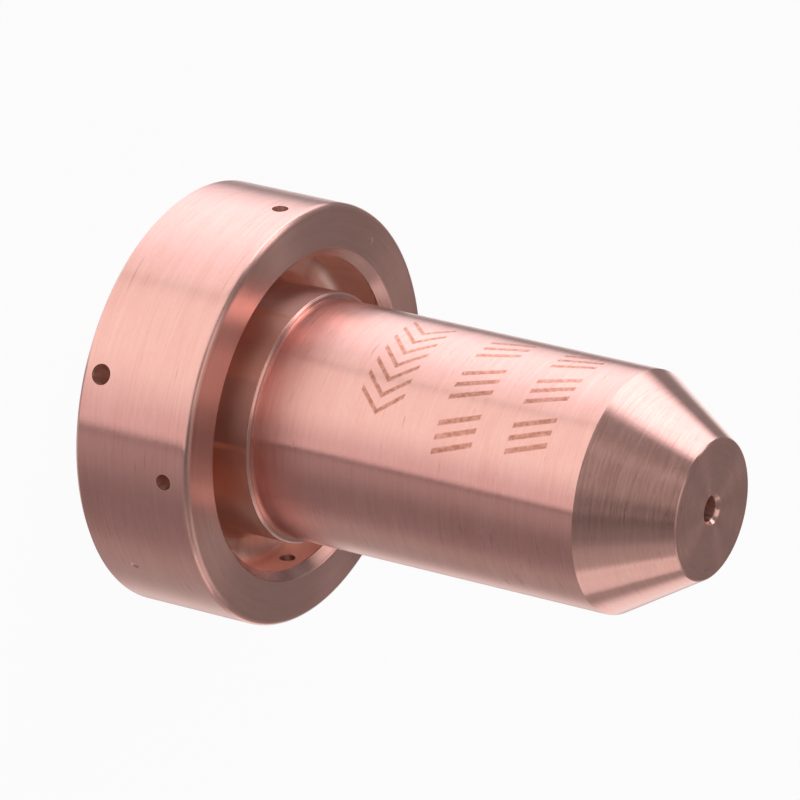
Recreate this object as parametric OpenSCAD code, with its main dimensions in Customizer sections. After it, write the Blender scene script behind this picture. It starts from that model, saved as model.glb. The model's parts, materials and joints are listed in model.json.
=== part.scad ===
// Nozzle of a plasma cutting torch, turned from one piece of copper.
// It stands on the back face of its flange, with its axis along +Z and its tip up. Sizes are in mm.

/* [Flange] */
// Outside diameter of the flange
flange_diameter = 22.3; // [21:0.1:24]
// Width of the flange along the axis
flange_width = 7; // [6.5:0.1:8]
// Radius that rounds the flange's front edge
front_edge_round = 0.35; // [0.2:0.05:0.5]
// Chamfer on the flange's rear edge
rear_edge_chamfer = 0.3; // [0.1:0.05:0.5]

/* [Front groove] */
// Diameter of the wall that closes the groove on the outside
groove_diameter = 16.7; // [16.1:0.1:17.3]
// Depth of the groove below the flange's front face
groove_depth = 3; // [2.4:0.1:3.2]
// Radius in the groove's two bottom corners
groove_corner_round = 0.7; // [0.3:0.1:0.9]
// Chamfer round the groove's mouth
groove_mouth_chamfer = 0.48; // [0.1:0.02:0.6]

/* [Barrel] */
// Outside diameter of the barrel
barrel_diameter = 12.65; // [12.3:0.05:12.9]
// Diameter of the collar at the barrel's root, which is the groove's inner wall too
collar_diameter = 13.25; // [13.1:0.05:13.4]
// Distance from the flange's front face to the end of the collar
collar_above_face = 0.7; // [0.3:0.05:1]
// Width of the 45 degree bevel round the collar's outer edge
collar_bevel = 0.1; // [0.05:0.05:0.2]

/* [Nose] */
// Length of the whole nozzle
overall_length = 31.1; // [28:0.1:34]
// Length of the cone at the nose
cone_length = 4.4; // [3.6:0.1:5.4]
// Diameter of the flat face at the tip
tip_diameter = 7.3; // [6:0.1:8.6]
// Chamfer on the edge of the tip's face
tip_edge_chamfer = 0.05; // [0.05:0.05:0.3]

/* [Orifice] */
// Diameter of the orifice that the arc leaves by
orifice_diameter = 1.3; // [0.9:0.05:1.8]
// Length of the orifice between the chamber and the tip's face
orifice_length = 2.5; // [1.6:0.1:3.4]
// Chamfer round the orifice's mouth
orifice_chamfer = 0.18; // [0.05:0.01:0.3]

/* [Cartridge seat] */
// Diameter of the recess in the back face
seat_diameter = 17; // [16:0.1:18]
// Depth of the recess in the back face
seat_depth = 2.6; // [2.2:0.1:2.8]
// Chamfer round the recess's mouth
seat_chamfer = 0.4; // [0.1:0.05:0.6]

/* [Electrode chamber] */
// Diameter of the chamber inside the collar and the barrel
chamber_diameter = 8.4; // [7.6:0.1:8.8]
// Chamfer round the chamber's mouth, on the floor of the recess
chamber_chamfer = 0.9; // [0.3:0.1:1.1]
// Angle between the chamber's conical end and the axis
chamber_cone_angle = 45; // [35:1:60]

/* [Gas holes] */
// Number of holes from the rim into the front groove
front_hole_count = 4; // [2:1:12]
// Diameter of the holes into the front groove
front_hole_diameter = 0.85; // [0.6:0.05:1.1]
// Height of the front holes' centres above the groove's floor
front_hole_height = 1.55; // [1.5:0.05:1.7]
// Angle of the first front hole round the axis
front_hole_angle = 26; // [0:1:180]
// Number of holes from the rim into the recess in the back face
rear_hole_count = 3; // [1:1:12]
// Diameter of the holes into the recess
rear_hole_diameter = 1.1; // [0.7:0.05:1.2]
// Distance of the rear holes' centres from the back face
rear_hole_height = 1.2; // [1.15:0.05:1.5]
// Angle of the first rear hole round the axis
rear_hole_angle = 31.4; // [0:0.1:360]

/* [Index spot] */
// Diameter of the spot drilled in the rim
spot_diameter = 0.5; // [0.3:0.05:0.8]
// Depth of the spot at its centre
spot_depth = 0.15; // [0.1:0.05:0.3]
// Distance of the spot from the back face
spot_height = 2.5; // [2:0.1:4]
// Angle of the spot round the axis
spot_angle = 327.7; // [0:0.1:360]

/* [Hidden] */
copper = [0.86, 0.56, 0.48];
$fn = 96;

flange_r = flange_diameter / 2;
groove_r = groove_diameter / 2;
collar_r = collar_diameter / 2;
barrel_r = barrel_diameter / 2;
tip_r = tip_diameter / 2;
orifice_r = orifice_diameter / 2;
seat_r = seat_diameter / 2;
chamber_r = chamber_diameter / 2;

groove_floor = flange_width - groove_depth;
barrel_start = flange_width + collar_above_face;
cone_start = overall_length - cone_length;
orifice_start = overall_length - orifice_length;
chamber_end = orifice_start - (chamber_r - orifice_r) / tan(chamber_cone_angle);
// How far a cutting shape runs past the surface that it opens
overrun = 1;

// Outside of the turned piece, as radius against height, with the groove's walls and floor
module outside_section() {
    cone_rate = (barrel_r - tip_r) / cone_length;
    polygon([
        [0, 0],
        [flange_r - rear_edge_chamfer, 0],
        [flange_r, rear_edge_chamfer],
        [flange_r, flange_width],
        [groove_r + groove_mouth_chamfer, flange_width],
        [groove_r, flange_width - groove_mouth_chamfer],
        [groove_r, groove_floor],
        [collar_r, groove_floor],
        [collar_r, barrel_start - collar_bevel],
        [collar_r - collar_bevel, barrel_start],
        [barrel_r, barrel_start],
        [barrel_r, cone_start],
        [tip_r + tip_edge_chamfer * cone_rate, overall_length - tip_edge_chamfer],
        [tip_r - tip_edge_chamfer, overall_length],
        [0, overall_length]
    ]);
}

// What lies between a square corner at the origin and a round of this radius
module corner_left(radius) {
    difference() {
        translate([-radius / 4, -radius / 4])
            square(radius * 5 / 4);
        translate([radius, radius])
            circle(r = radius);
    }
}

// Recess, electrode chamber and orifice, bored through from the back face to the tip
module bore_section() {
    polygon([
        [0, -overrun],
        [seat_r + seat_chamfer + overrun, -overrun],
        [seat_r, seat_chamfer],
        [seat_r, seat_depth],
        [chamber_r + chamber_chamfer, seat_depth],
        [chamber_r, seat_depth + chamber_chamfer],
        [chamber_r, chamber_end],
        [orifice_r, orifice_start],
        [orifice_r, overall_length - orifice_chamfer],
        [orifice_r + orifice_chamfer + overrun, overall_length + overrun],
        [0, overall_length + overrun]
    ]);
}

// Whole section of the turned piece, with its rounded corners
module turned_section() {
    difference() {
        union() {
            outside_section();
            translate([collar_r, groove_floor])
                corner_left(groove_corner_round);
            translate([groove_r, groove_floor])
                mirror([1, 0])
                    corner_left(groove_corner_round);
        }
        translate([flange_r, flange_width])
            rotate(180)
                corner_left(front_edge_round);
        bore_section();
    }
}

// Row of holes drilled inwards from the rim, each from inner_r outwards
module radial_holes(count, diameter, height, first_angle, inner_r) {
    for (i = [0 : count - 1])
        rotate(first_angle + i * 360 / count)
            translate([inner_r, 0, height])
                rotate([0, 90, 0])
                    cylinder(d = diameter, h = flange_r - inner_r + overrun);
}

// Shallow conical spot in the rim, wider as it goes on outwards past the surface
module index_spot() {
    widening = spot_diameter / 2 / spot_depth;
    rotate(spot_angle)
        translate([flange_r - spot_depth, 0, spot_height])
            rotate([0, 90, 0])
                cylinder(r1 = 0, r2 = 2 * spot_depth * widening, h = 2 * spot_depth);
}

module nozzle() {
    color(copper)
        difference() {
            rotate_extrude()
                turned_section();
            radial_holes(front_hole_count, front_hole_diameter, groove_floor + front_hole_height,
                front_hole_angle, (collar_r + groove_r) / 2);
            radial_holes(rear_hole_count, rear_hole_diameter, rear_hole_height,
                rear_hole_angle, seat_r / 2);
            index_spot();
        }
}

nozzle();
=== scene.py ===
import json
import math

import bpy
from mathutils import Matrix, Vector


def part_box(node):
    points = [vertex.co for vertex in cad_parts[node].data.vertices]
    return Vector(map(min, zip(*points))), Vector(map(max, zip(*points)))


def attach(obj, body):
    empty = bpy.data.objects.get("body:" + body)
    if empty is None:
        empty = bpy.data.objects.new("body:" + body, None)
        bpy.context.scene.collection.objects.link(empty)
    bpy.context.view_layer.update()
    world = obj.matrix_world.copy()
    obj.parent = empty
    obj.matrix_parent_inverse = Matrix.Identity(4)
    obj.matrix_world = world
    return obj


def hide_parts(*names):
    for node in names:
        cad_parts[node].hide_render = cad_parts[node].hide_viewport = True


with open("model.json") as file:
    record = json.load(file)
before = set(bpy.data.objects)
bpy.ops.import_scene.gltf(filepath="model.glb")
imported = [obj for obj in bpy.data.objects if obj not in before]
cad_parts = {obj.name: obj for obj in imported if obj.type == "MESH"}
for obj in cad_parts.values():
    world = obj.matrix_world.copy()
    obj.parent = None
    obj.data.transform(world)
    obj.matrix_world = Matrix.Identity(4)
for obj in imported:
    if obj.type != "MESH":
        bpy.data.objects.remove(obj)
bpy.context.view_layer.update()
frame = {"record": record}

# Camera
# A long lens close in front of the nozzle, looking down at it by 30 degrees and rolled until the turned axis
# runs from left to right and a little downwards.
MM = 0.001
camera_data = bpy.data.cameras.new("camera")
camera_data.lens = 305.06
camera_data.clip_start = 0.01
camera_data.clip_end = 20.0
camera = bpy.data.objects.new("camera", camera_data)
camera_place = Vector((-1.854, -301.33, 185.89)) * MM
camera_pitch = math.radians(90 - 29.966)
camera_roll = math.radians(102.926)
turn = Matrix.Rotation(camera_pitch, 4, "X") @ Matrix.Rotation(camera_roll, 4, "Z")
camera.matrix_world = Matrix.Translation(camera_place) @ turn
bpy.context.scene.collection.objects.link(camera)
bpy.context.scene.camera = camera
bpy.context.scene.view_settings.view_transform = "Standard"

# Light and floor
# A plain pale room lit from the nozzle's -X side: one tall soft box stands there, light comes down from overhead,
# and the +X side is left in soft shade, as a flag beside the table would leave it. The nozzle stands on a white,
# matt floor.


class Wire:
    """An output socket of a node tree. Arithmetic on it adds Math nodes to the tree."""

    def __init__(self, socket):
        self.socket = socket

    @staticmethod
    def node(tree, kind, settings=None, values=None):
        """Adds a node: its settings first, then what its input sockets hold or are linked to."""
        node = tree.nodes.new(kind)
        for name, value in (settings or {}).items():
            setattr(node, name, value)
        for name, value in (values or {}).items():
            enabled = [socket for socket in node.inputs if socket.enabled]
            socket = enabled[name] if isinstance(name, int) else next(s for s in enabled if s.name == name)
            if isinstance(value, Wire):
                tree.links.new(value.socket, socket)
            else:
                socket.default_value = value
        return node

    @staticmethod
    def made(tree, kind, settings=None, values=None):
        """Adds a node as above and gives its first output."""
        node = Wire.node(tree, kind, settings, values)
        return Wire(next(output for output in node.outputs if output.enabled))

    def math(self, operation, *others):
        values = dict(enumerate((self, *others)))
        return Wire.made(self.socket.id_data, "ShaderNodeMath", {"operation": operation}, values)

    def __add__(self, other):
        return self.math("ADD", other)

    __radd__ = __add__

    def __mul__(self, other):
        return self.math("MULTIPLY", other)

    __rmul__ = __mul__

    def __sub__(self, other):
        return self.math("SUBTRACT", other)

    def __rsub__(self, other):
        return (self * -1).math("ADD", other)

    def __truediv__(self, other):
        return self.math("DIVIDE", other)

    def step(self, start, end):
        """0 before start and 1 after end, with a soft change between. With start over end it falls instead."""
        if start > end:
            return 1 - self.step(end, start)
        values = {"Value": self, "From Min": start, "From Max": end}
        return Wire.made(self.socket.id_data, "ShaderNodeMapRange", {"interpolation_type": "SMOOTHSTEP"}, values)

    def within(self, start, end, edge):
        """1 between start and end, 0 outside, with an edge of this width."""
        return self.step(start - edge / 2, start + edge / 2) * self.step(end + edge / 2, end - edge / 2)

    def between(self, one, other):
        """The colour that lies between two others by this share."""
        values = {"Factor": self, "A": one, "B": other}
        settings = {"data_type": "RGBA", "clamp_factor": True}
        return Wire.made(self.socket.id_data, "ShaderNodeMix", settings, values)

    def split(self):
        """The three parts of a vector."""
        parts = Wire.node(self.socket.id_data, "ShaderNodeSeparateXYZ", values={"Vector": self})
        return [Wire(output) for output in parts.outputs]


world = bpy.data.worlds.new("pale_room")
bpy.context.scene.world = world
world.use_nodes = True
room = world.node_tree
room.nodes.clear()
toward = Wire(Wire.node(room, "ShaderNodeTexCoord").outputs["Generated"])
east, north, up = toward.split()
height = up.math("ARCSINE") * math.degrees(1)


def round_from(bearing):
    """Angle round the nozzle between this direction and a bearing, in degrees."""
    turned = east * math.cos(math.radians(bearing)) + north * math.sin(math.radians(bearing))
    flat = (1 - up * up).math("SQRT").math("MAXIMUM", 0.0001)
    return (turned / flat).math("ARCCOSINE") * math.degrees(1)


azimuth = north.math("ARCTAN2", east) * math.degrees(1)
bearing = azimuth + azimuth.math("LESS_THAN", 0) * 360
rise = (height + 30).math("MAXIMUM", 0).math("MINIMUM", 36)

# Bearings go from +X towards +Y in degrees, heights from the horizon upwards. Everything goes on below the horizon,
# because the copper looks through the floor at it. The plain level of the room is a little lower in three places.
room_level = 0.28 - height.step(0, 35) * 0.08
room_level = room_level - bearing.within(285, 316, 16) * height.step(10, 30) * 0.07
room_level = room_level - bearing.within(217, 292, 10) * height.within(24, 44, 10) * 0.06
room_level = room_level - bearing.within(326, 358, 20) * height.step(-10, -24) * 0.04

# A white wall stands on the side of -X and -Y. It leans at its start, fades towards its end and has one dark seam.
wall_start = 124 + rise * 0.42
wall = (bearing - wall_start).step(-2, 6) * bearing.step(300.9, 299.9) * (1 - bearing.step(258, 300) * 0.42)
seam = (bearing - 218).math("ABSOLUTE")
seam = seam.step(7, 0) * 0.08 + seam.step(2.8, 0) * 0.38
wall = wall * (1 - seam) * (height - bearing.step(220, 240) * 7).step(20, 4) * 0.8

# The soft box stands in front of the wall, with its top edge aslant, and lights the foot of the wall.
soft_box = bearing.step(141, 150) * bearing.step(206, 187) * height.step(-4, 8)
soft_box = soft_box * (height - (bearing - 150) * 0.5).step(13, 5) * 1.8
wall_glow = bearing.step(133, 150) * bearing.step(214, 162) * height.step(8, -8) * 0.45

# A white card stands between the wall and the shaded side. It widens upwards and is lit unevenly.
card_start = 52 - rise * 0.35
card_end = 109 + rise * 0.35
card = ((bearing - card_start) / (16 - rise * 0.3)).step(-1, 1) * (bearing - card_end).step(4, -4)
card = card * (height + (bearing - 50) * 0.25).step(8, -6)
card_level = 0.5 + height.step(-28, -14) * 0.3
card_level = card_level - bearing.within(75, 91, 6) * 0.37 + bearing.within(93, 110, 6) * 0.35
card = card * card_level

# Weaker lights: a strip and its haze on the shaded side, two lights overhead and two panels above the wall.
strip = round_from(12).step(15, 12) * height.step(36, 26) * height.step(-4, 6) * 0.5
haze = round_from(-12).step(24, 6) * height.step(38, 24) * height.step(0, 12) * 0.22
overhead = height.step(62, 78) * 0.25
overhead = overhead + round_from(48).step(26, 12) * height.step(30, 42) * height.step(64, 54) * 0.55
panel = bearing.step(203, 215) * bearing.step(305, 270) * height.step(47, 56) * height.step(82, 66) * 0.8
panel = panel + round_from(-138).step(26, 12) * height.step(34, 44) * height.step(60, 44) * 0.3

# The wall spills light past its end, behind a dark edge, and the card spills a little too.
wall_edge = (bearing - 302).math("ABSOLUTE").step(3, 0) * 0.32
spill = (bearing.step(338, 306) * bearing.step(290, 301) * 0.135 - wall_edge) * height.step(0, -15)
spill = spill + bearing.step(2, 14) * bearing.step(60, 40) * 0.09
light = room_level + wall + wall_glow + soft_box + card + strip + haze + overhead + panel + spill

# The shade is a little warm and the side of the soft box a little cool. To the camera the room is plain white.
seen = Wire(Wire.node(room, "ShaderNodeLightPath").outputs["Is Camera Ray"])
warm = round_from(330).step(70, 25) * height.step(0, -20) * (1 - seen)
cool = round_from(165).step(55, 25) * (1 - seen)
tint = cool.between(warm.between((1, 1, 1, 1), (1, 0.87, 0.91, 1)), (0.97, 1.01, 1.08, 1))
values = {"Color": tint, "Strength": light + seen * (1 - light)}
sky = Wire.made(room, "ShaderNodeBackground", values=values)
Wire.node(room, "ShaderNodeOutputWorld", values={"Surface": sky})
world.cycles.sampling_method = "NONE"

lamp_data = bpy.data.lights.new("overhead_lamp", "AREA")
lamp_data.size = 0.2
lamp_data.energy = 0.25
lamp = bpy.data.objects.new("overhead_lamp", lamp_data)
lamp_place = Vector((-0.41, 0.15, 0.37))
lamp.matrix_world = Matrix.Translation(lamp_place) @ lamp_place.to_track_quat("Z", "Y").to_matrix().to_4x4()
bpy.context.scene.collection.objects.link(lamp)

floor_half = 2.0
floor_gap = 0.02 * MM
floor_corners = [(x * floor_half, y * floor_half, 0) for x, y in ((-1, -1), (1, -1), (1, 1), (-1, 1))]
floor_mesh = bpy.data.meshes.new("floor")
floor_mesh.from_pydata(floor_corners, [], [(0, 1, 2, 3)])
floor = bpy.data.objects.new("floor", floor_mesh)
floor.location.z = -floor_gap
bpy.context.scene.collection.objects.link(floor)
floor_paint = bpy.data.materials.new("pale_floor")
floor_paint.use_nodes = True
paper = floor_paint.node_tree
paper.nodes.clear()
floor_x, floor_y, _ = Wire(Wire.node(paper, "ShaderNodeTexCoord").outputs["Object"]).split()
under_nozzle = (floor_x * floor_x + floor_y * floor_y).math("SQRT").math("LESS_THAN", 10 * MM)
rays = Wire.node(paper, "ShaderNodeLightPath")
to_camera = Wire(rays.outputs["Is Camera Ray"])
to_copper = Wire(rays.outputs["Is Glossy Ray"]) + Wire(rays.outputs["Is Transmission Ray"])
matt = Wire.made(paper, "ShaderNodeBsdfDiffuse", values={"Color": (0.9, 0.9, 0.9, 1)})
white = Wire.made(paper, "ShaderNodeEmission")
clear = Wire.made(paper, "ShaderNodeBsdfTransparent")
surface = Wire.made(paper, "ShaderNodeMixShader", values={0: to_camera * 0.95, 1: matt, 2: white})
# The copper looks through the floor, all but under the nozzle, and so does a camera that looks up from beneath it.
from_below = Wire(Wire.node(paper, "ShaderNodeNewGeometry").outputs["Backfacing"]) * to_camera
clearness = (to_copper * (1 - under_nozzle * 0.8)).math("MAXIMUM", from_below)
surface = Wire.made(paper, "ShaderNodeMixShader", values={0: clearness, 1: surface, 2: clear})
Wire.node(paper, "ShaderNodeOutputMaterial", values={"Surface": surface})
floor_mesh.materials.append(floor_paint)

# Turned nozzle
# One piece, turned from copper bar and bored through from the back: a flange with a groove in its front face, a
# collar, a barrel and a coned nose with the orifice. The gas holes are drilled into the rim on an indexing head.
_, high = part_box("nozzle")
fits = {mount["name"]: mount["dims"].get("r_mm", 0) * MM for mount in frame["record"]["mounts"]}
length = high.z
flange_r = fits["flange_rim"]
flange_w = 7.0 * MM
front_round = 0.35 * MM
rear_chamfer = 0.3 * MM
groove_r = 8.35 * MM
groove_floor = 4.0 * MM
groove_round = 0.7 * MM
mouth_chamfer = 0.48 * MM
collar_r = 6.625 * MM
collar_end = 7.7 * MM
collar_bevel = 0.1 * MM
barrel_r = fits["barrel"]
cone_start = length - 4.4 * MM
tip_r = 3.65 * MM
tip_chamfer = 0.05 * MM
orifice_r = fits["orifice"]
orifice_chamfer = 0.18 * MM
orifice_start = length - 2.5 * MM
chamber_r = fits["electrode_chamber"]
chamber_end = orifice_start - (chamber_r - orifice_r)
chamber_chamfer = 0.9 * MM
seat_r = fits["cartridge_seat"]
seat_depth = 2.6 * MM
seat_chamfer = 0.4 * MM
edge_break = 0.04 * MM


def rounded(corners, support):
    """Points of a closed outline of (r, z, radius) corners, with an arc at each and a point beside each arc's ends."""
    points = []
    for i, (r, z, radius) in enumerate(corners):
        corner = Vector((r, z))
        before = Vector(corners[i - 1][:2]) - corner
        after = Vector(corners[(i + 1) % len(corners)][:2]) - corner
        half_angle = before.angle(after) / 2
        reach = radius / math.tan(half_angle)
        a, b = before.normalized(), after.normalized()
        centre = corner + (a + b).normalized() * (radius / math.sin(half_angle))
        first, last = corner + a * reach - centre, corner + b * reach - centre
        sweep_angle = first.angle_signed(last)
        steps = max(3, round(abs(sweep_angle) / math.radians(15)))
        points.append(centre + first + a * support)
        for k in range(steps + 1):
            points.append(centre + Matrix.Rotation(-sweep_angle * k / steps, 2) @ first)
        points.append(centre + last + b * support)
    return points


cone_rate = (barrel_r - tip_r) / (length - cone_start)
outline = [
    (seat_r + seat_chamfer, 0, edge_break),
    (flange_r - rear_chamfer, 0, edge_break),
    (flange_r, rear_chamfer, edge_break),
    (flange_r, flange_w, front_round),
    (groove_r + mouth_chamfer, flange_w, edge_break),
    (groove_r, flange_w - mouth_chamfer, edge_break),
    (groove_r, groove_floor, groove_round),
    (collar_r, groove_floor, groove_round),
    (collar_r, collar_end - collar_bevel, edge_break),
    (collar_r - collar_bevel, collar_end, edge_break),
    (barrel_r, collar_end, edge_break / 2),
    (barrel_r, cone_start, edge_break),
    (tip_r + tip_chamfer * cone_rate, length - tip_chamfer, edge_break / 2),
    (tip_r - tip_chamfer, length, edge_break / 2),
    (orifice_r + orifice_chamfer, length, edge_break / 2),
    (orifice_r, length - orifice_chamfer, edge_break / 2),
    (orifice_r, orifice_start, edge_break),
    (chamber_r, chamber_end, edge_break),
    (chamber_r, seat_depth + chamber_chamfer, edge_break),
    (chamber_r + chamber_chamfer, seat_depth, edge_break),
    (seat_r, seat_depth, 2 * edge_break),
    (seat_r, seat_chamfer, edge_break),
]
section = rounded(outline, edge_break / 3)
section_mesh = bpy.data.meshes.new("section")
loop = [(i, (i + 1) % len(section)) for i in range(len(section))]
section_mesh.from_pydata([(r, -z, 0) for r, z in reversed(section)], loop, [])
nozzle = bpy.data.objects.new("turned_nozzle", section_mesh)
bpy.context.scene.collection.objects.link(nozzle)

copper = bpy.data.materials.new("turned_copper")
copper.use_nodes = True

# The tree sweeps the section round the axis and drills the two rows of gas holes and the index spot.
lathe = bpy.data.node_groups.new("turn_and_drill", "GeometryNodeTree")
lathe.is_modifier = True
sizes = {
    "Steps Round": ("NodeSocketInt", 384),
    "Rim Radius": ("NodeSocketFloat", flange_r),
    "Front Holes": ("NodeSocketInt", 4),
    "Front Hole Radius": ("NodeSocketFloat", 0.425 * MM),
    "Front Hole Height": ("NodeSocketFloat", 5.55 * MM),
    "Front Hole Angle": ("NodeSocketFloat", math.radians(26)),
    "Front Hole End": ("NodeSocketFloat", (collar_r + groove_r) / 2),
    "Rear Holes": ("NodeSocketInt", 3),
    "Rear Hole Radius": ("NodeSocketFloat", 0.55 * MM),
    "Rear Hole Height": ("NodeSocketFloat", 1.2 * MM),
    "Rear Hole Angle": ("NodeSocketFloat", math.radians(31.4)),
    "Rear Hole End": ("NodeSocketFloat", seat_r / 2),
    "Spot Radius": ("NodeSocketFloat", 0.25 * MM),
    "Spot Depth": ("NodeSocketFloat", 0.15 * MM),
    "Spot Height": ("NodeSocketFloat", 2.5 * MM),
    "Spot Angle": ("NodeSocketFloat", math.radians(327.7)),
}
lathe.interface.new_socket("Geometry", in_out="INPUT", socket_type="NodeSocketGeometry")
lathe.interface.new_socket("Geometry", in_out="OUTPUT", socket_type="NodeSocketGeometry")
made_sockets = {
    name: lathe.interface.new_socket(name, in_out="INPUT", socket_type=kind) for name, (kind, _) in sizes.items()
}
given = Wire.node(lathe, "NodeGroupInput")
size = {name: Wire(given.outputs[name]) for name in sizes}


def holes(row):
    """Cutters for the front or rear row of radial holes, as instances round the axis. They stand out of the rim."""
    names = ("Holes", "Hole Radius", "Hole Height", "Hole Angle", "Hole End")
    count, radius, height, angle, end = (size[f"{row} {name}"] for name in names)
    reach = size["Rim Radius"] - end + 1 * MM
    values = {"Vertices": 64, "Radius": radius, "Depth": reach}
    cutter = Wire.made(lathe, "GeometryNodeMeshCylinder", {"fill_type": "NGON"}, values)
    middle = Wire.made(lathe, "ShaderNodeCombineXYZ", values={"X": end + reach / 2, "Z": height})
    values = {"Geometry": cutter, "Translation": middle, "Rotation": (0, math.radians(90), 0)}
    cutter = Wire.made(lathe, "GeometryNodeTransform", values=values)
    points = Wire.made(lathe, "GeometryNodeMeshLine", values={"Count": count, "Offset": (0, 0, 0)})
    index = Wire.made(lathe, "GeometryNodeInputIndex")
    turned = angle + index * math.tau / count
    values = {"Rotation": Wire.made(lathe, "ShaderNodeCombineXYZ", values={"Z": turned})}
    values.update({"Points": points, "Instance": cutter})
    return Wire.made(lathe, "GeometryNodeInstanceOnPoints", values=values)


# The section is swept round a small circle, so it is moved in by that circle's radius first.
hub = 1 * MM
section_curve = Wire.made(lathe, "GeometryNodeMeshToCurve", values={"Mesh": Wire(given.outputs["Geometry"])})
shifted = Wire.made(lathe, "GeometryNodeTransform", values={"Geometry": section_curve, "Translation": (-hub, 0, 0)})
values = {"Resolution": size["Steps Round"], "Radius": hub}
circle = Wire.made(lathe, "GeometryNodeCurvePrimitiveCircle", values=values)
values = {"Curve": circle, "Profile Curve": shifted}
turned_body = Wire.made(lathe, "GeometryNodeCurveToMesh", values=values)

front_row = holes("Front")
rear_row = holes("Rear")
values = {"Vertices": 48, "Radius Bottom": 0.0, "Radius Top": size["Spot Radius"] * 2, "Depth": size["Spot Depth"] * 2}
spot = Wire.made(lathe, "GeometryNodeMeshCone", {"fill_type": "NGON"}, values)
values = {"X": size["Rim Radius"] - size["Spot Depth"], "Z": size["Spot Height"]}
spot_place = Wire.made(lathe, "ShaderNodeCombineXYZ", values=values)
values = {"Geometry": spot, "Translation": spot_place, "Rotation": (0, math.radians(90), 0)}
spot = Wire.made(lathe, "GeometryNodeTransform", values=values)
spot_turn = Wire.made(lathe, "ShaderNodeCombineXYZ", values={"Z": size["Spot Angle"]})
spot = Wire.made(lathe, "GeometryNodeTransform", values={"Geometry": spot, "Rotation": spot_turn})
join = Wire.node(lathe, "GeometryNodeJoinGeometry")
for part in (spot, rear_row, front_row):
    lathe.links.new(part.socket, join.inputs[0])
cutters = Wire.made(lathe, "GeometryNodeRealizeInstances", values={"Geometry": Wire(join.outputs[0])})
cutting = {"operation": "DIFFERENCE", "solver": "EXACT"}
drilled = Wire.node(lathe, "GeometryNodeMeshBoolean", cutting, {"Mesh 1": turned_body})
lathe.links.new(cutters.socket, drilled.inputs["Mesh 2"])
smooth = Wire.made(lathe, "GeometryNodeSetShadeSmooth", values={"Geometry": Wire(drilled.outputs["Mesh"])})
edge_angle = Wire(Wire.node(lathe, "GeometryNodeInputMeshEdgeAngle").outputs["Unsigned Angle"])
sharp = edge_angle.math("GREATER_THAN", math.radians(30))
values = {"Geometry": smooth, "Selection": sharp, "Shade Smooth": False}
creased = Wire.made(lathe, "GeometryNodeSetShadeSmooth", {"domain": "EDGE"}, values)
one_mesh = Wire.made(lathe, "GeometryNodeRealizeInstances", values={"Geometry": creased})
values = {"Geometry": one_mesh, "Material": copper}
finished = Wire.made(lathe, "GeometryNodeSetMaterial", values=values)
Wire.node(lathe, "NodeGroupOutput", values={"Geometry": finished})

turning = nozzle.modifiers.new("turn_and_drill", "NODES")
turning.node_group = lathe
for name, (_, value) in sizes.items():
    turning[made_sockets[name].identifier] = value
evaluated = nozzle.evaluated_get(bpy.context.evaluated_depsgraph_get())
nozzle_mesh = bpy.data.meshes.new_from_object(evaluated)
nozzle_mesh.name = "turned_nozzle"
nozzle.modifiers.clear()
nozzle.data = nozzle_mesh

# The finish is bright bare copper with the fine rings that the tool leaves, duller where tool and drills went in.
# Lengths are in mm from here on.
tree = copper.node_tree
tree.nodes.clear()
coordinates = Wire(Wire.node(tree, "ShaderNodeTexCoord").outputs["Object"])
x, y, z = (axis / MM for axis in coordinates.split())
radius = (x * x + y * y).math("SQRT").math("MAXIMUM", 0.1)
cos_round, sin_round = x / radius, y / radius
around = sin_round.math("ARCTAN2", cos_round) * math.degrees(1)


def rings(pitch, wander, offset=0.0):
    """Noise of a pitch along the section, which changes slowly round the axis. It runs from -0.5 to 0.5."""
    values = {"X": radius / pitch + offset, "Y": z / pitch, "Z": cos_round * wander}
    place = Wire.made(tree, "ShaderNodeCombineXYZ", values=values)
    values = {"Vector": place, "W": sin_round * wander, "Scale": 1.0, "Detail": 2.0, "Roughness": 0.6}
    return Wire.made(tree, "ShaderNodeTexNoise", {"noise_dimensions": "4D"}, values) - 0.5


def speckle(per_mm):
    """Noise of the same size in every direction, from -0.5 to 0.5."""
    values = {"Vector": coordinates, "Scale": per_mm / MM, "Detail": 2.0, "Roughness": 0.6}
    return Wire.made(tree, "ShaderNodeTexNoise", values=values) - 0.5


# Where the surface is: inside the flange's cuts or the bores, on the cone, the tip, the flange's front face, the
# lower side of the groove's chamfered mouth, where shade is painted, or the collar's wall in the groove.
in_cuts = radius.step(flange_r / MM - 0.03, flange_r / MM - 0.1) * z.step(0.3, 0.4)
in_cuts = in_cuts * (z - radius.step(7.5, 7.4) * 1.1).step(6.5, 6.4)
bored = (radius + z.step(27, 29) * 1.5).step(chamber_r / MM + 0.1, chamber_r / MM) * z.step(31.0, 30.9)
in_cuts = in_cuts.math("MAXIMUM", bored)
on_cone = z.step(cone_start / MM - 0.03, cone_start / MM + 0.03)
on_tip = z.step(length / MM - 0.05, length / MM - 0.02)
on_face = z.within(6.9, 7.1, 0.05) * radius.step(8.7, 8.8)
mouth_painted_shade = z.within(6.5, 6.98, 0.04) * radius.within(8.3, 8.86, 0.04) * around.within(-45, 50, 30)
on_collar = in_cuts * radius.within(6.3, 7.1, 0.1)

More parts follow.
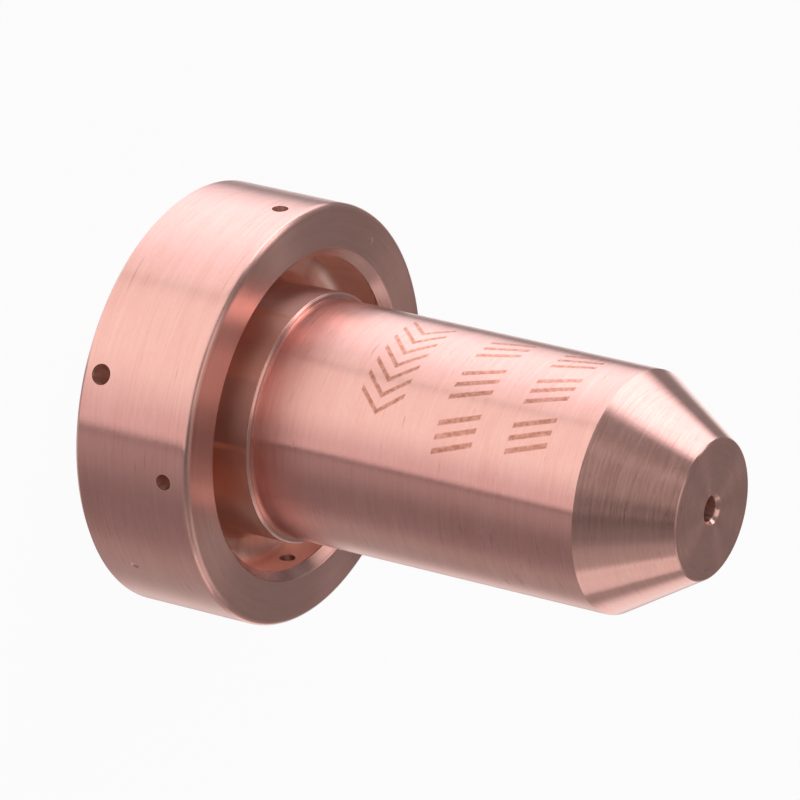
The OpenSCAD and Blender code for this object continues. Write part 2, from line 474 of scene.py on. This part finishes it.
# Fine and coarse turning rings, scratches along them, grain, and one small nick in the flange's face.
fine = rings(0.12, 3.0)
coarse = rings(0.6, 1.5, offset=31.0)
scratches = rings(0.22, 4.0, offset=67.0).step(0.13, 0.28)
grain = speckle(5.0)
clouds = speckle(0.5)
nick = ((x + 9.55) * (x + 9.55) + (y - 2.25) * (y - 2.25)).math("SQRT") + grain * 0.15
nick = nick.step(0.28, 0.1) * z.step(6.9, 6.95)
relief = fine * (0.5 + on_cone * 0.1) + coarse * 0.7 + grain * (0.1 + on_tip * 0.4 - in_cuts * 0.08) - scratches * 0.2
relief = relief * (1 - in_cuts * 0.7) - nick * 4
bump = Wire.made(tree, "ShaderNodeBump", values={"Strength": 1.0, "Distance": 0.01 * MM, "Height": relief})

# Marks burnt on by a laser stand in three rows on the barrel: chevrons, then two rows of slanted strokes.
# A stroke's blur is a share of the pitch.
along_arc = around * (math.radians(1) * barrel_r / MM)
stroke_width = 0.29
stroke_blur = 0.14


def row_of_strokes(start, count, low_z, high_z, lean, pitch, left_out=0):
    """Strokes across a row from low_z to high_z. With left_out at 4, every fourth one is missing."""
    place = (along_arc - start + lean) / pitch
    half_width, half_blur = stroke_width / 2 / pitch, stroke_blur / 2
    stroke = (place - place.math("FLOOR") - 0.5).math("ABSOLUTE").step(half_width + half_blur, half_width - half_blur)
    stroke = stroke * place.within(0, count, 0.02) * z.within(low_z, high_z, 0.05)
    if left_out:
        group = place / left_out
        stroke = stroke * (group - group.math("FLOOR")).math("LESS_THAN", 1 - 1 / left_out)
    return stroke


marks = row_of_strokes(-16.8, 7, 13.3, 15.8, (z - 14.55).math("ABSOLUTE") * 0.9, 0.9)
marks = marks + row_of_strokes(-17.4, 11, 18.2, 20.4, (z - 18.2) * 0.35, 0.74, 4)
marks = marks + row_of_strokes(-17.8, 11, 22.3, 24.5, (z - 22.3) * 0.35, 0.7, 4)
marks = marks * radius.step(barrel_r / MM - 0.05, barrel_r / MM - 0.02) * (0.75 + grain * 1.8)

# The cuts are stained along their walls, from 0, dark, to 1, clean. On the collar's wall the stain gives way to
# painted reflection:
# bands of painted shade and light by the angle round the axis, with two thin painted glints. The groove's outer wall
# stays cleaner.
values = {"X": cos_round * 3, "Y": sin_round * 3, "Z": z * 0.2}
place = Wire.made(tree, "ShaderNodeCombineXYZ", values=values)
stain_and_painted_reflection = Wire.made(tree, "ShaderNodeTexNoise", values={"Vector": place, "Scale": 1.0, "Detail": 3.0}).step(0.35, 0.65)
painted_reflection_bands = 0.5 - around.within(-170, -137, 4) * 0.5 + around.within(-137, -133, 1.5) * 0.5
painted_reflection_bands = painted_reflection_bands - around.within(-100, -69.5, 3) * 0.5 + around.within(-69.5, -67, 0.8) * 0.7
painted_reflection_bands = painted_reflection_bands + around.within(-60, -40, 8) * 0.5
stain_and_painted_reflection = stain_and_painted_reflection + (painted_reflection_bands - stain_and_painted_reflection) * on_collar
stain_and_painted_reflection = stain_and_painted_reflection.math("MAXIMUM", in_cuts * radius.step(8.2, 8.3) * 0.8)

streaks = fine * 0.8 + coarse * 0.5 + grain * 0.3 + clouds * 0.4
turned_copper = (streaks * 1.3 + 0.55).between((0.83, 0.425, 0.364, 1), (0.96, 0.555, 0.484, 1))
turned_copper = (scratches * 0.5).between(turned_copper, (0.55, 0.27, 0.23, 1))
clean_cut = on_collar.between((1, 0.68, 0.58, 1), (1, 0.56, 0.42, 1))
cut_copper = stain_and_painted_reflection.between((0.68, 0.37, 0.3, 1), clean_cut)
colour = (in_cuts * 0.9).between(turned_copper, cut_copper)
# Painted shade: one side of the groove's chamfered mouth is darkened against the bright reflection it catches.
colour = (mouth_painted_shade * 0.85).between(colour, (0.42, 0.22, 0.19, 1))
colour = marks.between(colour, (0.66, 0.27, 0.18, 1))
dullness = 0.23 + streaks * 0.08 + in_cuts * (0.18 - stain_and_painted_reflection * 0.1) + marks * 0.2
dullness = dullness - on_cone * (1 - on_tip) * 0.02 + on_tip * 0.02 + on_face * 0.07
values = {
    "Base Color": colour,
    "Metallic": 1.0,
    "Roughness": dullness,
    "Anisotropic": 0.95,
    "Anisotropic Rotation": 0.25,
    "Normal": bump,
}
metal = Wire.made(tree, "ShaderNodeBsdfPrincipled", values=values)
Wire.node(tree, "ShaderNodeOutputMaterial", values={"Surface": metal})

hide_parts("nozzle")
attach(nozzle, "root")
